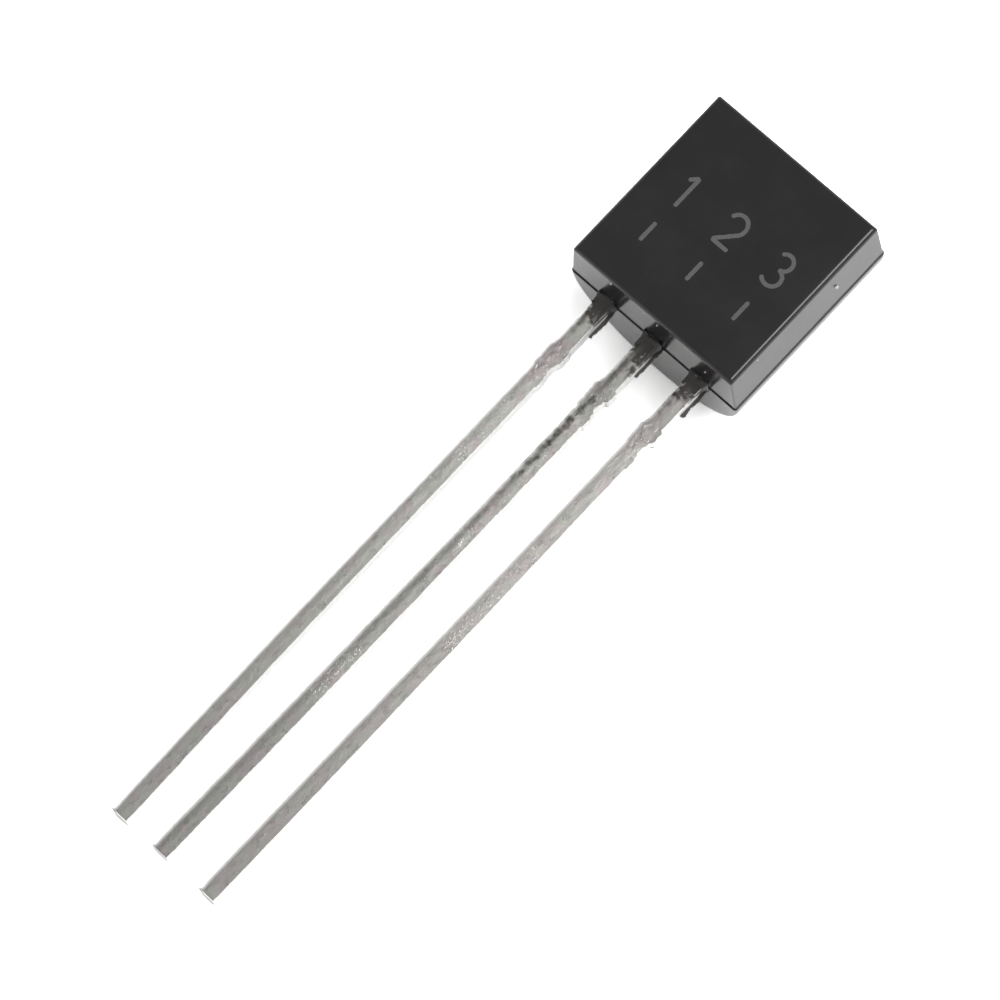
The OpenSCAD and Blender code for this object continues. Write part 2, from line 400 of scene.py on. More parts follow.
def case_mesh():
    """The moulded case as one closed loft, from the lowest line of the back upwards."""
    rings = []
    for i in range(BACK_STEPS, 0, -1):
        z = -BACK_R * sin(pi / 2 * i / BACK_STEPS)
        rings.append(back_ring(z))
    for i in range(LIP_STEPS + 1):
        angle = pi / 2 * i / LIP_STEPS
        ring = pulled_in(back_ring(LIP_R * (sin(angle) - 1)), LIP_R * (1 - cos(angle)))
        rings.append(chipped(ring, LEDGE_CHIP * sin(angle), LEDGE_CHIP_L, LEDGE_SEED))
    rings.append(front_ring(0))
    rings.append(front_ring(EDGE_GAP))
    low = FRONT_DEPTH - EDGE_R
    rings += [front_ring(low * i / WALL_STEPS) for i in range(1, WALL_STEPS)]
    rings.append(front_ring(low - EDGE_GAP))
    for i in range(FRONT_RIM_STEPS + 1):
        z = low + EDGE_R * sin(pi / 2 * i / FRONT_RIM_STEPS)
        lift = sin(pi * i / FRONT_RIM_STEPS)
        rings.append(chipped(front_ring(z), RIM_CHIP * lift, RIM_CHIP_L, RIM_SEED))
    middle = Vector((0, CASE_L / 2, FRONT_DEPTH))
    rings.append([p + (middle - p) * CAP_SHRINK for p in front_ring(FRONT_DEPTH)])
    bm = bmesh.new()
    loft(bm, rings)
    return finish_mesh(bm, "case")


def section_ring(left, right, bottom, top, radii, y, across=14, upright=8, steps=4):
    """Rounded rectangle square to Y, with its points closer together at the corners.
    radii are those of the corners bottom right, top right, top left and bottom left."""
    corners = (
        (right - radii[0], bottom + radii[0]),
        (right - radii[1], top - radii[1]),
        (left + radii[2], top - radii[2]),
        (left + radii[3], bottom + radii[3]),
    )
    bends = []
    for k, ((x, z), radius) in enumerate(zip(corners, radii)):
        angles = [-pi / 2 + k * pi / 2 + pi / 2 * i / steps for i in range(steps + 1)]
        bends.append([(x + radius * cos(a), z + radius * sin(a)) for a in angles])
    ring = []
    for k, bend in enumerate(bends):
        start = bend[-1]
        end = bends[(k + 1) % len(bends)][0]
        count = upright if k % 2 == 0 else across
        parts = [(1 - cos(pi * i / count)) / 2 for i in range(1, count)]
        ring += bend
        ring += [(start[0] + (end[0] - start[0]) * part, start[1] + (end[1] - start[1]) * part)
                 for part in parts]
    return [Vector((x, y, z)) for x, z in ring]


def creep_reach(p, x, seed, left_tail, right_tail):
    """How far the skin runs along the lead at a point of its section."""
    high = smooth((p.z - 0.04) / 0.1)
    right = smooth((p.x - x - 0.1) / 0.1) * high
    left = smooth((x - p.x - 0.12) / 0.08) * high
    ragged = 0.45 * ripple(p, 0.16, seed) + 0.12 * ripple(p, 0.06, seed)
    reach = CREEP_L * (CREEP_SHARE + ragged) + right * right_tail + left * left_tail
    return max(CREEP_LEAST, reach)


def creep_mesh(x, seed, left_tail, right_tail):
    """Skin of plastic round one lead: thick at the case, thin and ragged at its end. A
    tail runs on along each upper corner of the lead."""
    rings = []
    for i in range(CREEP_STEPS + 1):
        t = i / CREEP_STEPS
        swell = CREEP_T * (1.0 - CREEP_THINNING * smooth(t))
        half_w = ROOT_W / 2 + swell
        half_t = FRAME_TOP + swell
        radii = [CREEP_R + swell] * 4
        ring = section_ring(x - half_w + ROOT_TRIM, x + half_w, -half_t, half_t, radii, 0, 30, 26, 6)
        for p in ring:
            p.y = CREEP_ROOT - t * (CREEP_ROOT + creep_reach(p, x, seed, left_tail, right_tail))
            flare = smooth(1 + p.y / CREEP_FLARE_L) * max(0.2, 0.7 + ripple(p, 0.12, seed + 2))
            p += Vector((p.x - x, 0, p.z)).normalized() * CREEP_FLARE * flare
        rings.append(ring)
    inner = [Vector((x + (p.x - x) * CREEP_CORE, p.y, p.z * CREEP_CORE)) for p in rings[-1]]
    rings.append(inner)
    rings.append([Vector((p.x, CREEP_ROOT * CREEP_CORE, p.z)) for p in inner])
    bm = bmesh.new()
    loft(bm, rings)
    return finish_mesh(bm, "creep")


def fin_mesh(x, side, length, fullest, seed):
    """Thin fin of plastic low on one side of a lead."""
    rings = []
    for i in range(FIN_STEPS + 1):
        y = CREEP_ROOT - (CREEP_ROOT + length) * i / FIN_STEPS
        edge = Vector((x, y, 0))
        width = fullest * (1 + 0.35 * ripple(edge, 0.2, seed) + 0.2 * ripple(edge, 0.05, seed))
        width *= smooth((y + length) / 0.03 + 0.4)
        ends = sorted((x, x + side * width))
        low = -FIN_DROP - FIN_T
        rings.append(section_ring(*ends, low, -FIN_DROP, [FIN_R] * 4, y, 4, 2, 2))
    bm = bmesh.new()
    loft(bm, rings)
    return finish_mesh(bm, "fin")


def mark_creep(mesh):
    """Level at each point of the case that tells its material where the skin is."""
    attribute = mesh.attributes.new("creep", "FLOAT", "POINT")
    attribute.data.foreach_set("value", [smooth(-v.co.y / CREEP_FADE) for v in mesh.vertices])


def gate_mesh():
    """Rough scar on the top end wall, where the plastic was let in and broken off."""
    steps = GATE_STEPS
    rings = []
    for i in range(steps + 1):
        x = GATE_W * (i / steps - 0.5)
        ring = []
        for j in range(steps + 1):
            z = GATE_D * j / steps
            p = Vector((x, z, 0))
            rough = 0.55 + 0.4 * ripple(p, 0.08, 5) + 0.25 * ripple(p, 0.03, 9)
            edge = smooth(min(i, steps - i, j, steps - j) / 2)
            y = CASE_L + GATE_H * max(0.1, min(1, rough)) * edge - LEDGE * (1 - edge)
            ring.append(Vector((x, y, z)))
        ring.append(Vector((x, CASE_L - GATE_ROOT, GATE_D)))
        ring.append(Vector((x, CASE_L - GATE_ROOT, 0)))
        rings.append(ring)
    bm = bmesh.new()
    loft(bm, rings)
    return finish_mesh(bm, "gate")


# Leads

STATION = 0.03
CUT_SLOPE = 0.012
CUT_SKEW = 0.008
CUT_EDGE = 0.012
ROOT_TRIM = 0.03
TRIM_END = 1.25
ROOT_END = 1.6
TORN_START = 1.25
TORN_END = 2.45
LUMP_FADE = 0.05
SIDE_WEAR = 0.006
TORN_WEAR = 0.012
NOTCH_STEPS = 12
BURR_L = 0.07
BURR_OUT = 0.045
BURR_DOWN = 0.01
SKEW_L = 0.15
END_RINGS = (0.08, 0.2, 0.35, 0.6, 0.9)

# Radii of the edges from the lower right round to the lower left, outside the case and in
EDGE_RADII = (0.02, 0.008, 0.12, 0.05)
STAMPED_RADII = (0.01, 0.01, 0.01, 0.01)


@dataclass
class Lead:
    """One lead's place, course, wear and head. The tails are how far the plastic's skin
    runs on along the left and right corner, and left_fin is the length of the fin on the
    left. The lumps are what is left of the dam bar: side, start, end and how far each
    stands out. The head is the start, end, left and right of its part inside the case."""

    name: str
    node: str
    x: float
    drift: float
    straight: float
    seed: float
    rough: float
    tails: tuple
    left_fin: float
    lumps: list
    head: tuple


LEADS = [
    Lead("collector_pin", "collector_lead", -PITCH, 0.06, 7.5, 1.7, 1.0, (0.1, 0.4), 0.45,
         [(-1, 1.4, 2.02, 0.026), (1, 1.36, 1.72, 0.04), (1, 1.8, 2.04, -0.03), (1, 2.1, 2.38, 0.028)],
         (PADDLE_Y, PADDLE_END, -FRAME_EDGE, PADDLE_RIGHT)),
    Lead("base_pin", "base_lead", 0, -0.09, 0, 23.1, 1.5, (0.08, 0.45), 0.4,
         [(-1, 1.38, 2.05, 0.034), (1, 1.34, 1.66, 0.062), (1, 1.74, 2.0, -0.035), (1, 2.08, 2.36, 0.03)],
         (BASE_HEAD_Y, BASE_HEAD_Y + BASE_HEAD_L, -BASE_HEAD_HALF, BASE_HEAD_HALF)),
    Lead("emitter_pin", "emitter_lead", PITCH, -0.05, 0, 47.9, 0.9, (0.12, 0.15), 0.78,
         [(-1, 1.4, 1.95, 0.026), (1, 1.33, 1.7, 0.055), (1, 1.78, 2.06, -0.035), (1, 2.12, 2.42, 0.026)],
         (PADDLE_Y, PADDLE_Y + EMITTER_HEAD_L, EMITTER_HEAD_X, FRAME_EDGE)),
]


def lead_middle(lead, distance):
    """Sideways place of a lead's middle at a distance from the case."""
    bend = max(0.0, distance - lead.straight) / (LEAD_L - lead.straight)
    return lead.x + lead.drift * bend ** 2


def lead_edge(lead, side, distance):
    """How far a lead's side lies from its middle at a distance outside the case."""
    half = (ROOT_W + (SHANK_W - ROOT_W) * smooth((distance - ROOT_END) / 0.1)) / 2
    near_tip = smooth((distance - LEAD_L + TIP_L) / TIP_L)
    half -= (SHANK_W - TIP_W) / 2 * near_tip
    if side < 0:
        half -= ROOT_TRIM * (1 - smooth((distance - TRIM_END) / 0.15))
    for lump_side, start, end, out in lead.lumps:
        if lump_side == side:
            rise = smooth((distance - start) / LUMP_FADE)
            fall = smooth((end - distance) / LUMP_FADE)
            half += out * rise * fall
    spot = Vector((lead.x + side, distance, 0))
    torn = smooth((distance - TORN_START) / 0.1) * smooth((TORN_END - distance) / 0.1)
    half += (SIDE_WEAR + TORN_WEAR * torn) * lead.rough * ripple(spot, 0.09, lead.seed)
    half += SIDE_WEAR * lead.rough * ripple(spot, 0.4, lead.seed + 5)
    return half


def lead_stations():
    """Distances down a lead at which its section is set, closer together at the tip."""
    end = LEAD_L - CUT_EDGE
    count = round(end / STATION)
    main = [end * i / count for i in range(count + 1)]
    return main + [LEAD_L - CUT_EDGE * part for part in (0.6, 0.3, 0.1, 0)]


def stem_rings(lead):
    """Sections inside the case, from the head's far end to the case's lead end."""
    head_start, head_end, left, right = lead.head
    stem_left = lead.x - ROOT_W / 2
    stem_right = lead.x + ROOT_W / 2
    rings = [
        section_ring(left, right, -FRAME_TOP, FRAME_TOP, STAMPED_RADII, y)
        for y in (head_end, head_start)
    ]
    rings.append(section_ring(stem_left, stem_right, -FRAME_TOP, FRAME_TOP, STAMPED_RADII, head_start))
    for i in range(NOTCH_STEPS + 1):
        lift = NOTCH_R * cos(pi * i / NOTCH_STEPS)
        bite = sqrt(max(0.0, NOTCH_R ** 2 - lift ** 2))
        rings.append(section_ring(stem_left + bite, stem_right - bite, -FRAME_TOP, FRAME_TOP,
                                  STAMPED_RADII, NOTCH_Y + lift))
    return rings


def worn(lead, p, middle, distance):
    """Point of a lead's surface with its dents and rolling marks."""
    fade = smooth(distance / 0.3) * (1 - 0.65 * smooth((distance - 5) / 6))
    away = Vector((p.x - middle, 0, p.z))
    away = Vector((away.x / SHANK_W, 0, away.z / LEAD_T))
    away = Vector((away.x ** 3, 0, away.z ** 3)).normalized()
    torn = smooth((distance - 1.2) / 0.2) * smooth((2.5 - distance) / 0.4)
    stretched = Vector((p.x, p.y / 2, p.z))
    depth = 0.0022 * ripple(stretched, 0.2, lead.seed) + 0.0012 * ripple(stretched, 0.06, lead.seed)
    pit = smooth((ripple(p, 0.1, lead.seed + 60) - 0.25) / 0.2)
    return p + away * lead.rough * fade * (depth * (1 + 0.8 * torn) - 0.003 - 0.005 * pit * torn)


def cut(p, middle, distance):
    """Point of a lead's tip, which was cut a little askew and has a burr on its left."""
    near = smooth((distance - LEAD_L + BURR_L) / BURR_L)
    left = smooth((middle - p.x - 0.08) / 0.1)
    high = smooth(p.z / FRAME_TOP + 0.6)
    across = (p.x - middle) / (TIP_W / 2)
    near_end = smooth((distance - LEAD_L + SKEW_L) / SKEW_L)
    back = CUT_SLOPE * (p.z / LEAD_T + 0.5) + CUT_SKEW * (1 - across) / 2
    return p + Vector((-BURR_OUT * near * left * high, back * near_end, -BURR_DOWN * near * left * high))


def end_face(ring):
    """Smaller and smaller copies of the last section, which close a lead's cut end."""
    middle = sum(ring, Vector()) / len(ring)
    return [[p + (middle - p) * part for p in ring] for part in END_RINGS]


def lead_mesh(lead):
    """One piece of the lead frame, from its head inside the case to its tip."""
    rings = stem_rings(lead)
    for distance in lead_stations():
        middle = lead_middle(lead, distance)
        close = max(0.0, distance - LEAD_L + CUT_EDGE) / CUT_EDGE
        inset = CUT_EDGE * (1 - sqrt(max(0.0, 1 - close ** 2)))
        left = middle - lead_edge(lead, -1, distance) + inset
        right = middle + lead_edge(lead, 1, distance) - inset
        radii = EDGE_RADII if distance > 0 else STAMPED_RADII
        ring = section_ring(left, right, -FRAME_TOP + inset, FRAME_TOP - inset, radii, -distance)
        ring = [worn(lead, p, middle, distance) for p in ring]
        rings.append([cut(p, middle, distance) for p in ring])
    bm = bmesh.new()
    loft(bm, rings + end_face(rings[-1]))
    return finish_mesh(bm, lead.name)


# Pin numbers

def arc(x, y, rx, ry, start, end, steps=28):
    """Points of an arc, with its angles in degrees."""
    turn = [radians(start + (end - start) * i / steps) for i in range(steps + 1)]
    return [(x + rx * cos(a), y + ry * sin(a)) for a in turn]


# Strokes of each digit in a space of height 1, centred across
DIGITS = {
    1: [[(-0.16, 0.78), (0.05, 1)], [(0.05, 1), (0.05, 0)]],
    2: [arc(0, 0.7, 0.27, 0.3, 165, -38) + [(-0.27, 0)], [(-0.27, 0), (0.28, 0)]],
    3: [arc(-0.02, 0.76, 0.23, 0.24, 150, -90), arc(-0.02, 0.26, 0.27, 0.26, 90, -150)],
}


def along_path(points, spacing=0.02):
    """Points at even spacing along a path."""
    result = []
    for a, b in zip(points, points[1:]):
        count = max(1, round(hypot(b[0] - a[0], b[1] - a[1]) / spacing))
        result += [
            (a[0] + (b[0] - a[0]) * i / count, a[1] + (b[1] - a[1]) * i / count)
            for i in range(count)
        ]
    return result + [points[-1]]


def stroke_rings(points, lift, seed):
    """Sections of a flat stroke with round ends and a slightly ragged edge."""
    half = STROKE_W / 2
    path = along_path(points)
    total = sum(hypot(b[0] - a[0], b[1] - a[1]) for a, b in zip(path, path[1:]))
    rings = []
    run = 0.0
    for i, (x, y) in enumerate(path):
        before = path[max(0, i - 1)]
        after = path[min(len(path) - 1, i + 1)]
        if i:
            run += hypot(x - before[0], y - before[1])
        way = Vector((after[0] - before[0], after[1] - before[1], 0)).normalized()
        to_end = min(run, total - run) + STROKE_END
        close = max(0.0, 1 - to_end / half)
        width = half * sqrt(1 - close ** 2)
        side = Vector((-way.y, way.x, 0))
        spot = Vector((x, y, 0))
        low = FRONT_DEPTH - MARK_DEPTH
        top = FRONT_DEPTH + MARK_RAISE + lift
        ring = []
        for sign, z in ((1, low), (-1, low), (-1, top), (1, top)):
            ragged = 1 + STROKE_WAVE * ripple(spot, 0.035, seed + 5 * sign)
            ring.append(Vector((x, y, z)) + side * sign * width * ragged)
        rings.append(ring)
    return rings


def marking_mesh():
    """Pin numbers in line with the leads, with a tick that points down each lead."""
    bm = bmesh.new()
    for index, digit in enumerate(DIGITS):
        x = (index - 1) * PITCH
        strokes = [[(x + DIGIT_H * a, DIGIT_Y + DIGIT_H * b) for a, b in s] for s in DIGITS[digit]]
        strokes.append([(x, TICK_Y), (x, TICK_Y + TICK_L)])
        for level, stroke in enumerate(strokes):
            loft(bm, stroke_rings(stroke, STROKE_LIFT * level, 3 * index + level))
    return finish_mesh(bm, "marking", FINE_WELD)


# Dust

# Places on the upright case and the size of each fleck
FLECKS = [
    ((2.22, 3.16, 0.81), 0.044),
    ((2.183, 0.84, 1.319), 0.016),
    ((-1.116, 0.067, 1.322), 0.022),
    ((-0.211, 0.064, 1.274), 0.015),
    ((0.145, 0.062, 1.187), 0.017),
    ((1.456, 0.049, 0.838), 0.016),
]


def fleck_mesh():
    """Flecks of dust, each a small uneven grain."""
    bm = bmesh.new()
    for k, (spot, size) in enumerate(FLECKS):
        made = bmesh.ops.create_icosphere(bm, subdivisions=3, radius=size)
        for v in made["verts"]:
            v.co *= 1 + 0.5 * ripple(v.co, size * 0.8, 31 + k)
            v.co += Vector(spot)
    return finish_mesh(bm, "flecks", FINE_WELD)


# Materials

class Shader:
    """A node material under construction. A link is given as a (node, socket) pair."""

    def __init__(self, tree):
        self.tree = tree
        tree.nodes.clear()

    def add(self, kind, inputs=None, **settings):
        """New node with its inputs fed and its settings made."""
        node = self.tree.nodes.new(kind)
        for key, value in settings.items():
            setattr(node, key, value)
        for key, value in (inputs or {}).items():
            self.feed(node.inputs[key], value)
        return node

    def feed(self, socket, value):
        """Link a socket to another node's output, or set its value."""
        if isinstance(value, tuple) and isinstance(value[0], bpy.types.Node):
            self.tree.links.new(value[0].outputs[value[1]], socket)
        else:
            socket.default_value = value


def grey(level):
    """Colour value of a plain grey."""
    return (level, level, level, 1)


def millimetres(shader, stretch=(1, 1, 1)):
    """Object coordinates in millimetres, with a stretch along each axis."""
    place = shader.add("ShaderNodeTexCoord")
    scale = shader.add("ShaderNodeMapping", {"Vector": (place, "Object")})
    scale.inputs["Scale"].default_value = [1 / MM / s for s in stretch]
    return (scale, "Vector")


def grain(shader, where, size, detail=3.0, rough=0.6):
    """Noise whose features have a size in millimetres."""
    return (shader.add("ShaderNodeTexNoise",
                       {"Vector": where, "Scale": 1 / size, "Detail": detail, "Roughness": rough}), "Fac")


def ramp(shader, value, stops):
    """Colours or levels between stops, each a position and a colour."""
    node = shader.add("ShaderNodeValToRGB", {"Fac": value})
    elements = node.color_ramp.elements
    for element, (position, color) in zip(elements, (stops[0], stops[-1])):
        element.position = position
        element.color = color
    for position, color in stops[1:-1]:
        elements.new(position).color = color
    return (node, "Color")


def blend(shader, amount, first, second, kind="MIX"):
    """Mix of two colours, or their product."""
    node = shader.add("ShaderNodeMix", data_type="RGBA", blend_type=kind)
    for key, value in ((0, amount), (6, first), (7, second)):
        shader.feed(node.inputs[key], value)
    return (node, 2)


def mixed_level(shader, amount, first, second):
    """Mix of two levels."""
    return (shader.add("ShaderNodeMix", {0: amount, 2: first, 3: second}), 0)


def mesh_level(shader, name):
    """Level that the mesh keeps at each of its points."""
    return (shader.add("ShaderNodeAttribute", attribute_name=name), "Fac")


def spread(shader, value, low, high, start=0.0, end=1.0):
    """A level taken from one range to another."""
    return (shader.add("ShaderNodeMapRange", {
        "Value": value, "From Min": start, "From Max": end, "To Min": low, "To Max": high}), "Result")


def bumps(shader, layers):
    """Normal with several layers of relief, each a height, a depth in millimetres and a strength."""
    normal = None
    for height, depth, strength in layers:
        inputs = {"Height": height, "Distance": depth * MM, "Strength": strength}
        if normal:
            inputs["Normal"] = normal
        normal = (shader.add("ShaderNodeBump", inputs), "Normal")
    return normal


def new_material(name, build):
    """Material whose principled shader has the inputs that build() gives."""
    material = bpy.data.materials.new(name)
    material.use_nodes = True
    shader = Shader(material.node_tree)
    surface = shader.add("ShaderNodeBsdfPrincipled", build(shader))
    shader.add("ShaderNodeOutputMaterial", {"Surface": (surface, "BSDF")})
    return material


EPOXY_DARK = (0.0068, 0.0062, 0.0063, 1)
EPOXY_LIGHT = (0.0095, 0.0084, 0.0086, 1)
EPOXY_IOR = 1.55
CREEP_ROUGHNESS = 0.5
CREEP_COLOR = (0.026, 0.023, 0.021, 1)


def epoxy(shader):
    """Black moulded epoxy: fine grain, faint cloudiness and a few hairline marks. The
    skin that crept out along the leads is browner and more matt."""
    where = millimetres(shader)
    cloud = grain(shader, where, 0.9)
    fine = grain(shader, where, 0.035)
    color = ramp(shader, cloud, [(0.3, EPOXY_DARK), (0.7, EPOXY_LIGHT)])
    scratch = grain(shader, millimetres(shader, (6, 0.3, 1)), 0.25, 5)
    creep = mesh_level(shader, "creep")
    plain_rough = spread(shader, cloud, 0.17, 0.23, 0.3, 0.7)
    return {
        "Roughness": mixed_level(shader, creep, plain_rough, CREEP_ROUGHNESS),
        "Base Color": blend(shader, creep, color, CREEP_COLOR),
        "IOR": EPOXY_IOR,
        "Normal": bumps(shader, [(fine, 0.0004, 0.4), (scratch, 0.0006, 0.12)]),
    }


TIN_GREENISH = (0.60, 0.61, 0.56, 1)
TIN_REDDISH = (0.64, 0.58, 0.58, 1)
# Lighter colour of the cut sides and ends: painted light for the bright floor they reflect
LIT_SIDE_COLOR = (0.83, 0.83, 0.82, 1)
SIDE_ROUGHNESS = 0.55


def tin(tint, contrast, stain_and_shade_color):
    """Builder of the worn tin plating, with its own tint, contrast and a dark colour for each
    lead that its stains and painted shade share. The cut sides are more matt than the top, and painted
    light makes them lighter in colour."""
    def build(shader):
        where = millimetres(shader)
        drawn = millimetres(shader, (1, 2.2, 1))
        patch = grain(shader, where, 0.5, 2)
        fleck = grain(shader, drawn, 0.11, 3)
        dents = spread(shader, grain(shader, where, 0.04, 2), 0, 1, 0.55, 0.71)
        base = ramp(shader, patch, [(0.35, TIN_GREENISH), (0.5, tint), (0.65, TIN_REDDISH)])
        dark = ramp(shader, fleck, [(0.28, grey(1 - contrast)), (0.5, grey(1)), (0.75, grey(1))])
        color = blend(shader, 1.0, base, dark, "MULTIPLY")
        # Painted shade: the plating's colour times the shade level kept at each point of the lead
        with_painted_shade = blend(shader, 1.0, color, mesh_level(shader, "tone"), "MULTIPLY")
        crumbs = grain(shader, where, 0.08, 3)
        patchy = shader.add("ShaderNodeMath", {0: mesh_level(shader, "stain"), 1: crumbs},
                            operation="MULTIPLY")
        pitted = mesh_level(shader, "pitted")
        side = mesh_level(shader, "side")
        # Cut sides and ends: a lighter colour, painted as light
        paler = blend(shader, side, with_painted_shade, LIT_SIDE_COLOR)
        top_rough = spread(shader, fleck, 0.42, 0.24, 0.3, 0.7)
        return {
            "Roughness": mixed_level(shader, side, top_rough, SIDE_ROUGHNESS),
            # Stains take the dark colour, and so does the painted shade on the cut end's rim
            "Base Color": blend(shader, spread(shader, (patchy, 0), 0, 1, 0.04, 0.46), paler, stain_and_shade_color),
            "Metallic": 1.0,
            "Normal": bumps(shader, [(fleck, 0.01, 0.35), (dents, 0.014, spread(shader, pitted, 0.13, 1))]),
        }
    return build


def laser_grey(shader):
    """Grey that a laser leaves on black epoxy, speckled by its dots."""
    where = millimetres(shader)
    speckle = grain(shader, where, 0.025, 3)
    return {
        "Base Color": ramp(shader, speckle, [(0.3, grey(0.075)), (0.7, grey(0.12))]),
        "Roughness": spread(shader, speckle, 0.75, 0.6),
        "Normal": bumps(shader, [(speckle, 0.002, 0.6)]),
    }


def dust(shader):
    """Pale dust."""
    speckle = grain(shader, millimetres(shader), 0.01, 2)
    return {
        "Base Color": ramp(shader, speckle, [(0.3, grey(0.7)), (0.7, grey(0.85))]),
        "Roughness": 0.9,
    }


def silicon(shader):
    """Polished silicon with faint blue and violet patches."""
    patch = grain(shader, millimetres(shader), 0.08, 2)
    return {
        "Base Color": ramp(shader, patch, [(0.4, (0.13, 0.14, 0.19, 1)), (0.6, (0.19, 0.17, 0.22, 1))]),
        "Roughness": spread(shader, patch, 0.12, 0.25),
        "IOR": 2.4,
    }


def silver(shader):
    """Matt silver paste with visible flakes."""
    flake = grain(shader, millimetres(shader), 0.012, 2)
    return {
        "Base Color": ramp(shader, flake, [(0.35, (0.5, 0.5, 0.48, 1)), (0.65, (0.75, 0.75, 0.72, 1))]),
        "Metallic": 0.7,
        "Roughness": spread(shader, flake, 0.65, 0.45),
        "Normal": bumps(shader, [(flake, 0.002, 0.5)]),
    }


def gold(shader):
    """Drawn gold wire."""
    streak = grain(shader, millimetres(shader, (1, 4, 1)), 0.01, 2)
    return {
        "Base Color": ramp(shader, streak, [(0.3, (0.85, 0.58, 0.2, 1)), (0.7, (0.95, 0.7, 0.3, 1))]),
        "Metallic": 1.0,
        "Roughness": spread(shader, streak, 0.2, 0.32),
    }


# Wear that the leads' material reads: dark stains as distance, sideways place, size and
# strength
STAINS = {
    "collector_pin": [
        (0.28, 0.02, 0.25, 1.3), (0.5, -0.05, 0.14, 0.7), (0.72, -0.06, 0.12, 0.5),
        (0.5, 0.15, 0.14, 0.7), (0.95, -0.07, 0.08, 0.3), (1.85, 0.1, 0.07, 0.25)],
    "base_pin": [
        (0.26, 0.0, 0.27, 1.35), (0.55, 0.17, 0.16, 1.1), (0.8, 0.19, 0.12, 0.9),
        (0.52, -0.06, 0.1, 0.6), (0.8, -0.05, 0.1, 0.5), (1.1, -0.05, 0.1, 0.5),
        (1.45, -0.12, 0.07, 0.3), (1.62, 0.04, 0.05, 0.3), (1.82, -0.01, 0.09, 0.7),
        (2.1, -0.03, 0.12, 0.62), (2.4, -0.08, 0.09, 0.8), (2.56, -0.02, 0.07, 0.65),
        (2.75, -0.07, 0.12, 0.7), (3.05, -0.04, 0.08, 0.85), (3.15, -0.1, 0.1, 0.6),
        (3.45, -0.03, 0.07, 0.8), (3.6, -0.08, 0.1, 0.55), (3.88, -0.04, 0.06, 0.75),
        (4.05, -0.08, 0.09, 0.45), (4.5, -0.07, 0.09, 0.35), (5.2, -0.05, 0.08, 0.25)],
    "emitter_pin": [
        (0.28, 0.02, 0.25, 1.3), (0.55, -0.07, 0.12, 0.75), (0.8, -0.09, 0.09, 0.55),
        (0.5, 0.15, 0.12, 0.6), (1.05, -0.09, 0.07, 0.4)],
}

# How dark the painted shade on the lower and left rim of each lead's cut end is, and how dark the rest of
# the end is
END_DARKNESS = {"collector_pin": (1.0, 0), "base_pin": (0.6, 0.35), "emitter_pin": (0.85, 0.15)}

# Stretches of each lead that are pitted: start, end and strength
PITS = {
    "collector_pin": [(2.7, 4.7, 0.7), (1.3, 2.4, 0.25)],
    "base_pin": [(1.3, 6.0, 0.8), (8.4, 10.4, 0.35)],
    "emitter_pin": [(1.3, 2.4, 0.25), (4.6, 7.8, 0.4)],
}

# Painted shade on each lead: how light the left half of its top is, at the case's end and at the tip's
# end, and how light the lead is near the case
LEFT_SHADE = {"collector_pin": (0.75, 0.92), "base_pin": (0.56, 0.78), "emitter_pin": (0.8, 0.95)}
CASE_SHADE = {"collector_pin": 0.8, "base_pin": 0.72, "emitter_pin": 0.76}


def painted_lead_shade(lead, distance, x):
    """Painted shade on a lead's plating: darker near the case and on the left half of its top,
    with a lighter outer left edge, and darker towards the tip."""
    near_case = smooth((2.4 - distance) / 0.8)
    along = 1 - 0.3 * smooth((distance - 2.5) / 11.5)
    along *= 1 - (1 - CASE_SHADE[lead.name]) * near_case
    left = smooth((0.07 - x) / 0.11) * (1 - 0.6 * smooth((-0.05 - x) / 0.07))
    shade, far_shade = LEFT_SHADE[lead.name]
    shade += (far_shade - shade) * smooth((distance - 5) / 8)
    return along * (1 - (1 - shade) * left)


def stain_level(lead, p, x):
    """How dark the stains are at a point of a lead, from 0 to 1."""
    level = 0.0
    for distance, across, size, strength in STAINS[lead.name]:
        reach = hypot((p.y + distance) / 1.5, x - across) / size
        spot = smooth(1.25 - reach + 0.8 * ripple(p, 0.09, lead.seed) + 0.3 * ripple(p, 0.03, lead.seed))
        level = max(level, strength * spot)
    return level


def pit_level(lead, distance):
    """How pitted a lead is at a distance from the case, from 0 to 1."""
    level = 0.0
    for start, end, strength in PITS[lead.name]:
        level = max(level, strength * smooth((distance - start) / 0.8) * smooth((end - distance) / 0.8))
    return level


def wear_and_shade_lead(piece, lead):
    """Painted shade, stains, pits and cut sides at each point of a lead, kept with its mesh."""
    back = UPRIGHT.inverted()
    turn = back.to_3x3()
    rim_shade, face_darkness = END_DARKNESS[lead.name]
    values = {"tone": [], "stain": [], "side": [], "pitted": []}
    for v in piece.data.vertices:
        p = back @ v.co
        normal = (turn @ v.normal).normalized()
        x = p.x - lead_middle(lead, -p.y)
        # Cut sides and ends: rougher, and given a lighter colour as painted light
        end = smooth((-normal.y - 0.4) / 0.2)
        side = max(smooth((normal.x - 0.4) / 0.2), smooth((-normal.x - 0.12) / 0.5), end)
        # Lower and left rim of the cut end, darkened as painted shade
        rim = max(smooth((-0.04 - p.z) / 0.06), smooth((-0.1 - x) / 0.06))
        top = smooth(p.z / 0.06 - 1)
        values["side"].append(side)
        values["pitted"].append(pit_level(lead, -p.y) * top)
        values["stain"].append(max(stain_level(lead, p, x) * top, rim_shade * rim * end, face_darkness * end))
        values["tone"].append(painted_lead_shade(lead, -p.y, x))
    for name, levels in values.items():
        attribute = piece.data.attributes.new(name, "FLOAT", "POINT")
        attribute.data.foreach_set("value", levels)


# Stage

def backdrop_rays(shader):
    """1 for the rays that see the pale background: from the camera, gloss or glass."""
    path = shader.add("ShaderNodeLightPath")
    total = (path, "Is Camera Ray")
    for kind in ("Is Glossy Ray", "Is Transmission Ray"):
        total = (shader.add("ShaderNodeMath", {0: total, 1: (path, kind)}, operation="MAXIMUM"), 0)
    return total


